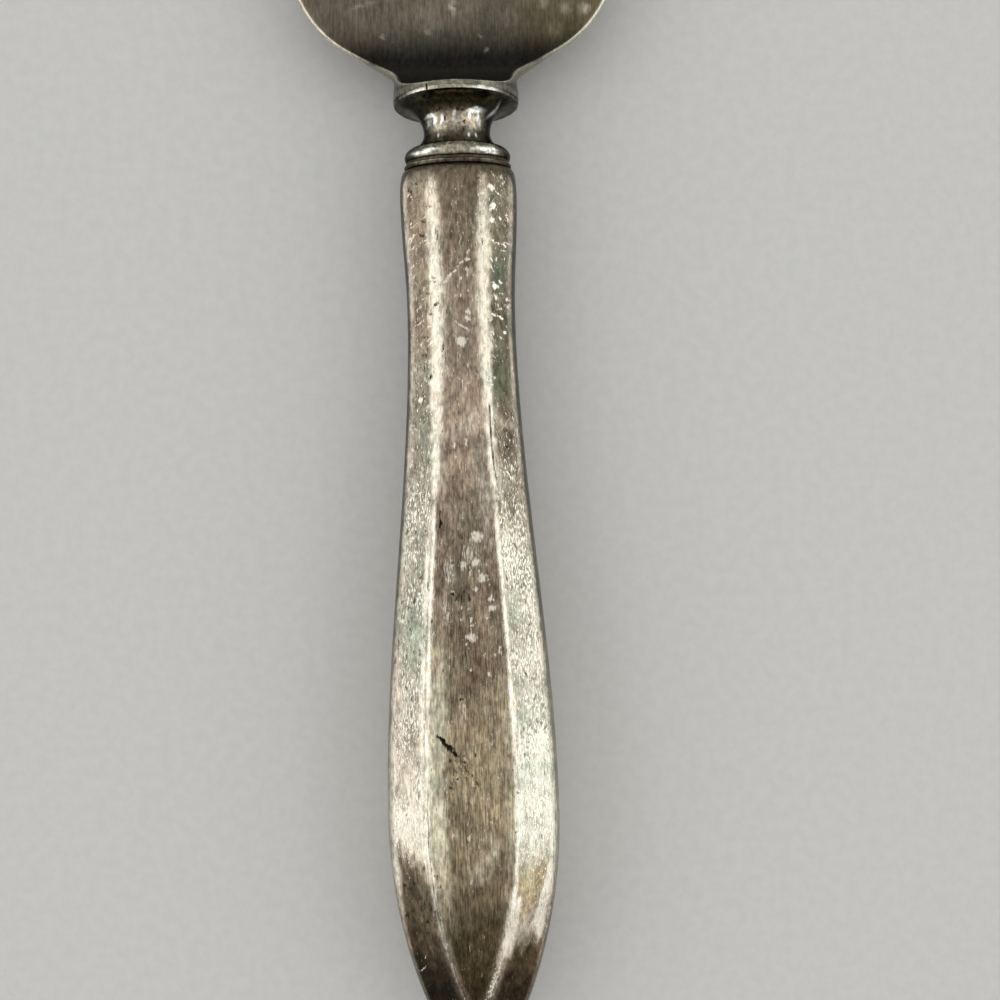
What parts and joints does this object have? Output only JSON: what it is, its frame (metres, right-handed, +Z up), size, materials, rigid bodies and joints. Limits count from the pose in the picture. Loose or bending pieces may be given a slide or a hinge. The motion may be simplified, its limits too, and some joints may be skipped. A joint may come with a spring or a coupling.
{
  "type": "butter spreader",
  "caption": "Hollow-handled butter spreader: broad flat round-ended blade, waisted oval neck with a thin flange and bead, and a panelled two-shell handle with a pointed end.",
  "frame": {"origin": "under the middle of the tool's length, on the surface it lies on", "axes": "+Y along the tool from the handle to the blade, +Z up from the surface it lies on, +X to the right as seen from above with the blade away from the viewer"},
  "size_m": [0.031, 0.1552, 0.0107],
  "materials": {
    "blade_plate": "worn, tarnished silver plate on nickel silver, brushed lengthwise",
    "neck_plate": "glossy tarnished silver plate, dark in the hollows",
    "handle_plate": "worn, tarnished silver plate with a brown film, brushed lengthwise, bright along the edges of the panels",
    "solder": "dull grey solder",
    "cement": "hard brown resin cement"
  },
  "bodies": {
    "root": {"blade": "blade_plate", "root_solder": "solder", "bolster": "neck_plate", "mouth_solder": "solder", "mouth_cap": "neck_plate", "front_shell": "handle_plate", "back_shell": "handle_plate", "seam_solder": "solder", "cement_filling": "cement"}
  },
  "joints": []
}
